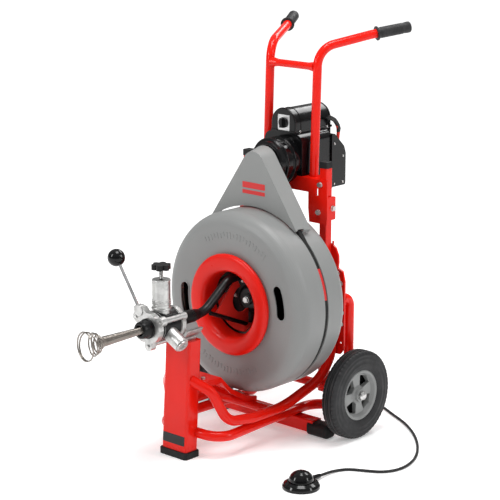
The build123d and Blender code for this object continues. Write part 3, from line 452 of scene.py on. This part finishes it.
def tyre(side):
    """Tyre with raised sidewall rings, tread grooves and shoulder blocks."""
    wall = [(72, 19.5), (76, 21), (80, 23), (84, 24), (88, 24.4), (90, 25), (92, 25), (94, 24.2),
            (102, 24.6), (104, 25), (106, 25), (108, 24.2), (113, 23.8), (115, 24.4), (117, 24.2),
            (119, 22.6), (122, 21.2), (124.6, 19), (126.2, 16)]
    tread = [(126.6, 14), (124, 13), (124, 11.4), (126.9, 10.6), (WHEEL_R, 6), (126.9, 4.4), (124, 3.6),
             (124, 2.0), (126.9, 1.2)]
    steps = TREAD_BLOCKS * 4
    half = wall + tread
    outline = [(x, r) for r, x in half] + [(-x, r) for r, x in reversed(half)]
    centre = Vector((side * WHEEL_X, WHEEL_Y, WHEEL_R))
    rings = []
    for i in range(steps):
        angle = 2 * pi * i / steps
        out = Vector((0, cos(angle), sin(angle)))
        notch = NOTCH_DEPTH if i % 4 == 0 else 0.0
        ring = []
        for x, r in outline:
            shoulder = 12 < abs(x) < 22 and r > 118
            ring.append(centre + Vector((x, 0, 0)) + out * (r - (notch if shoulder else 0)))
        rings.append(ring)
    name = "right" if side > 0 else "left"
    piece(rings_mesh(f"tyre_tread_{name}", rings, True), f"wheel_{name}", "tyre_rubber",
          [f"tyre_{name}"], sharp=50)


# ---- handle grips ----------------------------------------------------------------------
GRIP_START = Vector((165, 445, 1115.5))
GRIP_END = Vector((216.5, 534, 1131.2))
GRIP_R = 16.0


def mirror_x(point):
    """The same point on the other side of the machine."""
    return Vector((-point.x, point.y, point.z))


def grip(start, end):
    """Rubber grip: flange, fine finger rings, rounded end."""
    length = (end - start).length
    outline = [(0, 13), (0, 19.4), (1, 20.4), (3.6, 20.4), (5, 19.4), (6.5, 17), (9, 15.4)]
    first_ring, ring_step, ring_count = 14.0, 5.0, 13
    for i in range(ring_count):
        a = first_ring + ring_step * i
        outline += [(a, 15.4), (a + 1, GRIP_R - 0.1), (a + 3, GRIP_R - 0.1), (a + 4, 15.4)]
    outline += [(84, 15.2), (90, GRIP_R), (length - 6, GRIP_R), (length - 3, 15.2),
                (length - 1, 13), (length - 0.2, 9), (length, 0.3)]
    outline += [(length - 3, 0.3), (length - 3, 12.9)]
    return turned("grip", outline, start, end - start, 48)


def handle_grips():
    """Both rubber grips."""
    right = grip(GRIP_START, GRIP_END)
    left = grip(mirror_x(GRIP_START), mirror_x(GRIP_END))
    both = joined("handle_grips", [right, left])
    piece(both, "carriage", "grip_rubber", ["grips"], sharp=30)


# ---- drum funnel -----------------------------------------------------------------------
FUNNEL_LIP = [
    (25, 124), (25, 139), (21, 143), (15, 145.5), (9, 143), (5.5, 136), (4.5, 124), (4.5, 112),
    (7, 102), (13, 95.5), (22, 92.3), (40, 91), (56, 91), (56, 95), (40, 95.2), (34, 98),
    (31, 104), (29, 112), (29, 124),
]


def drum_funnel():
    """Bell mouth with a smooth rolled lip."""
    lip = smoothed(FUNNEL_LIP[1:13], 3)
    back = smoothed(FUNNEL_LIP[13:], 2)
    outline = FUNNEL_LIP[:1] + lip + back
    ring = turned("funnel_ring", outline, (0, 0, AXIS_Z), BACKWARD, 144)
    piece(ring, "drum", "funnel_red", ["drum_funnel"], sharp=45)


# ---- labels and plates -------------------------------------------------------------------
def plate(name, corners, thickness, body, slot, material, bevel=0.2):
    """A flat plate as a finished piece."""
    piece(slab(name, corners, thickness), body, slot, bevel=bevel, material=material)


GUARD_FACE_Y = 114.0
COLUMN_LEAN = 20.0 / 325.0


def column_label():
    """Blank black plate low on the column's front face."""
    centre_z, low_y = 50.0, -211.6
    up = Vector((0, COLUMN_LEAN, 1)).normalized()
    centre = Vector((-1, low_y + COLUMN_LEAN * centre_z, centre_z))
    corners = rounded_rectangle(centre, (-1, 0, 0), up, 82, 27, 3)
    plate("column_label", corners, -0.7, "root", "black_plastic", "label_black")


def guard_patches():
    """Plain red bars where the guard carries its printed panel."""
    width = 84
    for name, z, height in (("upper", 708, 17), ("lower", 688.5, 11)):
        centre = (2, GUARD_FACE_Y - 0.1, z)
        corners = rounded_rectangle(centre, (1, 0, 0), UP, width, height, 1.5)
        plate(f"guard_patch_{name}", corners, 0.5, "carriage", "guard_grey", "label_red", bevel=0.1)


def switch_plate():
    """Bright square plate round the switch knob."""
    centre, width = (0, 242.0, 870), 45
    outline = rounded_rectangle(centre, (1, 0, 0), UP, width, width, 2)
    plate("switch_plate", outline, 0.3, "carriage", "steel", "label_silver", bevel=0.1)


# ---- drum details -----------------------------------------------------------------------
DRUM_FRONT = 25.0
SLOT_R = 182.0
SLOT_SPAN = 21.0
SLOT_HALF = 16.0
SLOT_STEPS = 12
SLOT_ANGLES = (11.0, 185.0)
BELT_R = 255.6
BELT_MARK_START = 8.0
BELT_MARK_SPAN = 20.0
BELT_MARK_STEPS = 24


def slot_rim(angle):
    """Soft raised lip round one curved hand slot."""
    half = SLOT_SPAN / 2
    steps = [SLOT_SPAN * i / SLOT_STEPS for i in range(SLOT_STEPS + 1)]
    points = [on_axis(SLOT_R + SLOT_HALF, radians(angle - half + step), DRUM_FRONT) for step in steps]
    for end, turn in ((angle + half, 1), (angle - half, -1)):
        centre = on_axis(SLOT_R, radians(end), DRUM_FRONT)
        out = Vector((cos(radians(end)), 0, sin(radians(end))))
        along = Vector((-sin(radians(end)), 0, cos(radians(end)))) * turn
        for j in range(1, 9):
            a = pi * j / 9
            points.append(centre + (out * cos(a) * turn + along * sin(a)) * SLOT_HALF)
        if turn > 0:
            points += [on_axis(SLOT_R - SLOT_HALF, radians(angle + half - step), DRUM_FRONT)
                       for step in steps]
    return wire("slot_rim", points, 2.0, 8, closed=True)


def drum_slot_rims():
    """The lips round both hand slots."""
    rims = joined("hand_slot_rims", [slot_rim(a) for a in SLOT_ANGLES])
    piece(rims, "drum", "drum_grey", sharp=80)


def drum_ribs():
    """Faint raised ribs in two arcs on the drum's face."""
    ribs = []
    low, high, height = 186.0, 204.0, 0.9
    for start, count, step in ((52, 20, 3.6), (236, 18, 3.6)):
        for i in range(count):
            angle = radians(start + step * i)
            along = Vector((cos(angle), 0, sin(angle)))
            across = Vector((-sin(angle), 0, cos(angle)))
            foot, top = low + 5 * (i % 3 == 1), high - 4 * (i % 4 == 2)
            centre = on_axis((foot + top) / 2, angle, DRUM_FRONT + 0.3)
            outline = rounded_rectangle(centre, along, across, top - foot, 5.0, 2.2, 3)
            ribs.append(slab("rib", outline, height + 0.3))
    piece(joined("drum_face_ribs", ribs), "drum", "drum_grey", bevel=0.3)


def belt_mark():
    """Red stretch on the belt's outer face."""
    section = ((0.05, 124.4), (0.5, 124.4), (0.5, 135.6), (0.05, 135.6))
    rings = []
    for i in range(BELT_MARK_STEPS + 1):
        angle = radians(BELT_MARK_START + BELT_MARK_SPAN * i / BELT_MARK_STEPS)
        rings.append([on_axis(BELT_R + r, angle, y) for r, y in section])
    piece(rings_mesh("belt_mark", rings, False), "root", "belt_rubber", material="label_red")


def stretched(node_name, name):
    """A copy of a CAD piece, baked in place, standing in for the hidden CAD piece."""
    node = nodes[node_name]
    obj = bpy.data.objects.new(name, node.data.copy())
    bpy.context.collection.objects.link(obj)
    obj.matrix_world = node.matrix_world.copy()
    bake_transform(obj)
    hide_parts(node_name)


# ---- motor details -----------------------------------------------------------------------
SWITCH_Z = 868.0
SWITCH_HALF = 42.0
SWITCH_FOOT = 849.0
MOTOR_AXIS_Z = 765.0
ARCH_STEPS = 24


def arch_band(y, radius):
    """Raised band round the arched switch box."""
    reach = SWITCH_HALF + 0.2
    points = [(reach, y, SWITCH_FOOT)]
    for i in range(ARCH_STEPS + 1):
        angle = pi * i / ARCH_STEPS
        points.append((reach * cos(angle), y, SWITCH_Z + reach * sin(angle)))
    points.append((-reach, y, SWITCH_FOOT))
    return wire("band", points, radius, 8)


def screw_head(centre, direction, radius, height):
    """Domed cross-recess screw head."""
    outline = [(0, 0.1), (0, radius * 1.02), (height * 0.35, radius), (height * 0.8, radius * 0.8),
               (height, radius * 0.45), (height * 0.55, radius * 0.3), (height * 0.5, 0.1)]
    return turned("screw", outline, centre, direction, 24)


def switch_box_bands():
    """The bands round both ends of the switch box and behind its front."""
    bands = [arch_band(y, radius) for y, radius in ((243, 2.4), (268, 1.3), (394, 2.0))]
    piece(joined("switch_box_bands", bands), "carriage", "motor_black", sharp=80)


def motor_screws():
    """Screws on the sides of the switch box and the rear box, and on the rear cover."""
    screws = []
    for x in (44, -44):
        side = (1 if x > 0 else -1, 0, 0)
        for y in (262, 318, 380):
            screws.append(screw_head((x, y, SWITCH_FOOT - 3), side, 3.4, 2.2))
    for x in (75, -75):
        side = (1 if x > 0 else -1, 0, 0)
        for y, z in ((378, 684), (416, 684), (378, 800), (416, 760)):
            screws.append(screw_head((x, y, z), side, 3.2, 2.0))
    for x, z in ((-62, 690), (62, 690), (-62, 756), (62, 756)):
        screws.append(screw_head((x, 428, z), BACKWARD, 3.2, 2.0))
    piece(joined("motor_screws", screws), "carriage", "steel", sharp=50)


def rear_louvres():
    """Slanted ribs on the rear cover."""
    louvres = []
    for i in range(6):
        centre = Vector((0, 428.2, 704 + 9 * i))
        outline = rounded_rectangle(centre, (1, 0, 0), (0, 0.6, 1), 92, 4.4, 2.1, 4)
        louvres.append(slab("louvre", outline, 1.6))
    piece(joined("rear_louvres", louvres), "carriage", "motor_black", bevel=0.4)


def hook_sleeve():
    """Soft sleeve over the upper half of the cord hook."""
    bend = [(60, 411, 828), (60, 412.4, 838), (60, 408.5, 847), (60, 402, 856), (60, 393.5, 865),
            (60, 384, 869.8), (60, 377, 873), (60, 369.2, 876.3)]
    radii = [5.2] + [6.4] * 6 + [6.0]
    piece(wire("hook_sleeve", bend, radii, 14), "carriage", "grip_rubber", sharp=60)


def knob_screw():
    """Bright thread between the star knob and the barrel."""
    pitch, turns = 2, 12
    outline = [(0, 0.3)]
    for i in range(turns):
        outline += [(pitch * i, 5.15), (pitch * i + pitch / 2, 5.75)]
    outline.append((pitch * turns, 0.3))
    thread = turned("knob_screw", outline, (0, FEED_Y, 513), UP, 32)
    piece(thread, "tension_screw", "steel", sharp=50)


def motor_rings():
    """Thin bright-edged rings round the motor's bell."""
    ring = [(0, 66.6), (0, 68.2), (1.2, 69), (4.8, 69), (6, 68.2), (6, 66.6)]
    meshes = [turned("ring", ring, (0, y, MOTOR_AXIS_Z), BACKWARD, 96) for y in (184.5, 216)]
    piece(joined("motor_bell_rings", meshes), "carriage", "motor_black", sharp=50)


# ---- feed unit details ---------------------------------------------------------------------
FEED_Y = -250.0
RING_FRONT_Y = -302.0
REAR_PLATE_Y = -200.0
TIE_ANGLES = (30.0, 150.0, 270.0)


def hex_bolt(centre, direction, across_flats, height):
    """Hex head with a chamfered top and a thin washer under it."""
    direction, first, second = frame_axes(direction)
    corner = across_flats / 2 / cos(pi / 6)
    centre = Vector(centre)
    spokes = [first * cos(pi / 3 * i) + second * sin(pi / 3 * i) for i in range(6)]
    thick, wide = 0.8, corner * 1.18
    rings = []
    for lift, grow in ((thick, 1), (height - 0.7, 1), (height, 0.86)):
        rings.append([centre + direction * lift + spoke * corner * grow for spoke in spokes])
    head = rings_mesh("hex", rings, False)
    outline = [(0, 0.1), (0, wide), (thick, wide), (thick, 0.1)]
    washer = turned("washer", outline, centre, direction, 24)
    return joined("bolt", [head, washer])


def feed_plates():
    """Screws of the front and rear plates, and the dark cam disc behind the front one."""
    bolts = [hex_bolt(on_axis(50, radians(a), RING_FRONT_Y), FORWARD, 9, 4.5) for a in TIE_ANGLES]
    piece(joined("ring_plate_screws", bolts), "lever", "steel", bevel=0.2)
    disc = [(0, 13.5), (0, 39), (1, 40), (6.4, 40), (7.4, 39), (7.4, 13.5)]
    piece(turned("cam_disc", disc, (0, -283.8, AXIS_Z), BACKWARD), "lever", "black_plastic")
    seats = [hex_bolt(on_axis(44, radians(a), REAR_PLATE_Y), BACKWARD, 10, 5) for a in TIE_ANGLES]
    piece(joined("rear_plate_screws", seats), "root", "steel", bevel=0.2)


def barrel_collars():
    """Foot collar, three ridges and top rim of the upper barrel."""
    foot = [(0, 24), (0, 26.6), (1, 27.4), (5, 27.4), (6, 26.6), (6, 24)]
    ridge = [(0, 24), (0, 25), (0.8, 25.7), (2, 25.7), (2.8, 25), (2.8, 24)]
    rim = [(0, 20), (0, 24.4), (1.2, 25.2), (4, 25.2), (5, 24.4), (5, 20)]
    collars = []
    for outline, height in ((foot, 44), (ridge, 57), (ridge, 62.5), (ridge, 68), (rim, 120.6)):
        collars.append(turned("collar", outline, (0, FEED_Y, AXIS_Z + height), UP))
    piece(joined("barrel_collars", collars), "root", "cast_aluminium", sharp=50)


def chamber_shade():
    """Dark sleeve round the roller chamber, between the plates: painted shade, a dark sheet put where
    the chamber lies in shade.
    """
    sleeve = [(0, 38), (0, 41.5), (60, 41.5), (60, 38)]
    shade = turned("chamber_shade", sleeve, (0, -275.5, AXIS_Z), BACKWARD)
    piece(shade, "root", "black_plastic")


def barrel_label():
    """Pale blank label wrapped round the front of the upper barrel."""
    section = ((24.4, 464), (24.8, 464), (24.8, 502), (24.4, 502))
    rings = []
    for i in range(13):
        angle = radians(222 + 4 * i)
        rings.append([(r * cos(angle), FEED_Y + r * sin(angle), z) for r, z in section])
    label = rings_mesh("barrel_label", rings, False)
    piece(label, "root", "cast_aluminium", material="label_white", sharp=30)


def hub_details():
    """Dark cap and plug on the spindle's end, and the small bolts of the guide's plate."""
    cap = [(0, 9), (0, 15.2), (0.8, 16), (3.4, 16), (3.4, 9)]
    piece(turned("spindle_cap", cap, (0, 86, AXIS_Z), BACKWARD, 48), "root", "black_plastic")
    plug = [(0, 0.5), (0, 6.5), (1.4, 6), (1.4, 0.5)]
    piece(turned("spindle_plug", plug, (0, 90, AXIS_Z), FORWARD, 32), "root", "black_plastic")
    bolts = [hex_bolt(on_axis(54, radians(a), 101), FORWARD, 8, 4) for a in (0, 60, 120, 180, 300)]
    piece(joined("guide_plate_bolts", bolts), "cable_guide", "steel", bevel=0.2)


def rim_shadow_discs():
    """Dark discs behind the openings of the wheels: painted shade, standing for the shadow seen through
    the openings.
    """
    for side, name in ((1, "right"), (-1, "left")):
        disc = [(0, 19), (0, 61.4), (1.5, 61.4), (1.5, 19)]
        # black disc as painted shade behind this wheel's openings
        back = turned("rim_shadow_disc_" + name, disc, (side * RIM_SHADOW_DISC_X, WHEEL_Y, WHEEL_R), (side, 0, 0))
        piece(back, "wheel_" + name, "black_plastic")


drain_cable()
cable_bulb()
tyre(1)
tyre(-1)
handle_grips()
drum_funnel()
column_label()
guard_patches()
switch_plate()
drum_slot_rims()
drum_ribs()
belt_mark()
stretched("drive_belt", "belt_loop")
stretched("tension_spring", "spring_coil")
switch_box_bands()
motor_screws()
rear_louvres()
motor_rings()
hook_sleeve()
knob_screw()
feed_plates()
barrel_collars()
chamber_shade()
barrel_label()
hub_details()
rim_shadow_discs()


# ---- the foot switch's hose ---------------------------------------------------------
HOSE_R = 0.004
FOOT_HOSE = [
    (406.5, -72, 9), (403.5, -36, 6.5), (406, -4, 4.3), (424, 28, 4.2), (465, 48, 4.2), (510, 74, 4.2),
    (530, 128, 4.2), (514, 204, 4.2), (464, 286, 4.2), (392, 364, 4.2), (312, 424, 4.2),
    (238, 460, 4.2), (166, 500, 4.2), (98, 508, 4.2), (56, 478, 4.2), (38, 436, 22),
    (33, 412, 82), (32, 404, 180), (31.6, 401.4, 290), (31.5, 400.6, 400), (31.7, 400.2, 500),
    (32, 400, 590), (32, 400, 654),
]


def foot_hose():
    """Thin hose from the foot switch to the boot under the motor's rear box."""
    curve = bpy.data.curves.new("air_hose", "CURVE")
    curve.dimensions = "3D"
    curve.bevel_depth = HOSE_R
    curve.bevel_resolution = 5
    curve.resolution_u = 16
    curve.use_fill_caps = True
    spline = curve.splines.new("NURBS")
    spline.points.add(len(FOOT_HOSE) - 1)
    for point, (x, y, z) in zip(spline.points, FOOT_HOSE):
        point.co = (x * MM, y * MM, z * MM, 1)
    spline.order_u = 3
    spline.use_endpoint_u = True
    hose = bpy.data.objects.new("air_hose", curve)
    bpy.context.collection.objects.link(hose)
    curve.materials.append(materials["hose_rubber"])
    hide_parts("foot_hose")
    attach(hose, "root")


foot_hose()


# ---- stage, light and camera --------------------------------------------------------
FLOOR_GLOW = 0.30
BACKDROP_GLOW = 0.72
WALL_LIGHT = 0.16
CEILING_LIGHT = 0.50
FLOOR_RADIUS = 40.0
CAMERA_AT = (3.2142, -3.4337, 1.7051)
CAMERA_AZIMUTH = 42.28
CAMERA_ELEVATION = 13.86
CAMERA_LENS = 126.46


def studio_floor():
    """Pale floor that glows more towards the backdrop."""
    bpy.ops.mesh.primitive_circle_add(vertices=96, radius=FLOOR_RADIUS, fill_type="NGON")
    ground = bpy.context.object
    ground.name = "floor"
    mat, shader = new_shader("floor", (0.92, 0.92, 0.92), 0.8, specular=0.1)
    shader.inputs["Emission Color"].default_value = (1, 1, 1, 1)
    away = add_node(mat, "ShaderNodeVectorMath", operation="LENGTH")
    link(mat, place(mat), away.inputs[0])
    glow = remap(mat, away.outputs["Value"], 1.2, 4.5, FLOOR_GLOW, BACKDROP_GLOW)
    link(mat, glow, shader.inputs["Emission Strength"])
    ground.data.materials.append(mat)


def studio_world():
    """Soft light that grows from the walls to the ceiling."""
    world = bpy.data.worlds.new("studio")
    bpy.context.scene.world = world
    world.use_nodes = True
    tree = world.node_tree
    height = tree.nodes.new("ShaderNodeSeparateXYZ")
    where = tree.nodes.new("ShaderNodeTexCoord").outputs["Generated"]
    tree.links.new(where, height.inputs["Vector"])
    ramp = tree.nodes.new("ShaderNodeValToRGB")
    tree.links.new(height.outputs["Z"], ramp.inputs["Fac"])
    low, high = ramp.color_ramp.elements
    low.position, low.color = 0.05, (*[WALL_LIGHT] * 3, 1)
    high.position, high.color = 0.75, (*[CEILING_LIGHT] * 3, 1)
    tree.links.new(ramp.outputs["Color"], tree.nodes["Background"].inputs["Color"])


def softbox(name, where, target, size, watts):
    """Rectangular lamp at one point, aimed at another."""
    lamp = bpy.data.lights.new(name, "AREA")
    lamp.shape = "RECTANGLE"
    lamp.size, lamp.size_y = size
    lamp.energy = watts
    holder = bpy.data.objects.new(name, lamp)
    bpy.context.collection.objects.link(holder)
    holder.location = where
    aim = Vector(target) - Vector(where)
    holder.rotation_euler = aim.to_track_quat("-Z", "Y").to_euler()


def camera():
    """The camera of the main view."""
    data = bpy.data.cameras.new("camera")
    data.lens = CAMERA_LENS
    data.sensor_width = 36
    data.clip_end = 200
    holder = bpy.data.objects.new("camera", data)
    bpy.context.collection.objects.link(holder)
    holder.location = CAMERA_AT
    azimuth, elevation = radians(CAMERA_AZIMUTH), radians(CAMERA_ELEVATION)
    holder.rotation_euler = (pi / 2 - elevation, 0, azimuth)
    bpy.context.scene.camera = holder


studio_floor()
studio_world()
softbox("key", (-1.3, -3.0, 2.3), (0, 0, 0.5), (0.6, 1.6), 42)
softbox("top", (0.3, 0.0, 3.0), (0, 0.1, 0.4), (1.3, 1.3), 48)
softbox("back", (-0.2, 2.6, 2.9), (0, 0.2, 0.7), (2.0, 0.9), 42)
softbox("side", (3.3, 0.9, 1.9), (0, 0.1, 0.5), (0.5, 1.8), 27)
camera()
bpy.context.scene.view_settings.view_transform = "Standard"
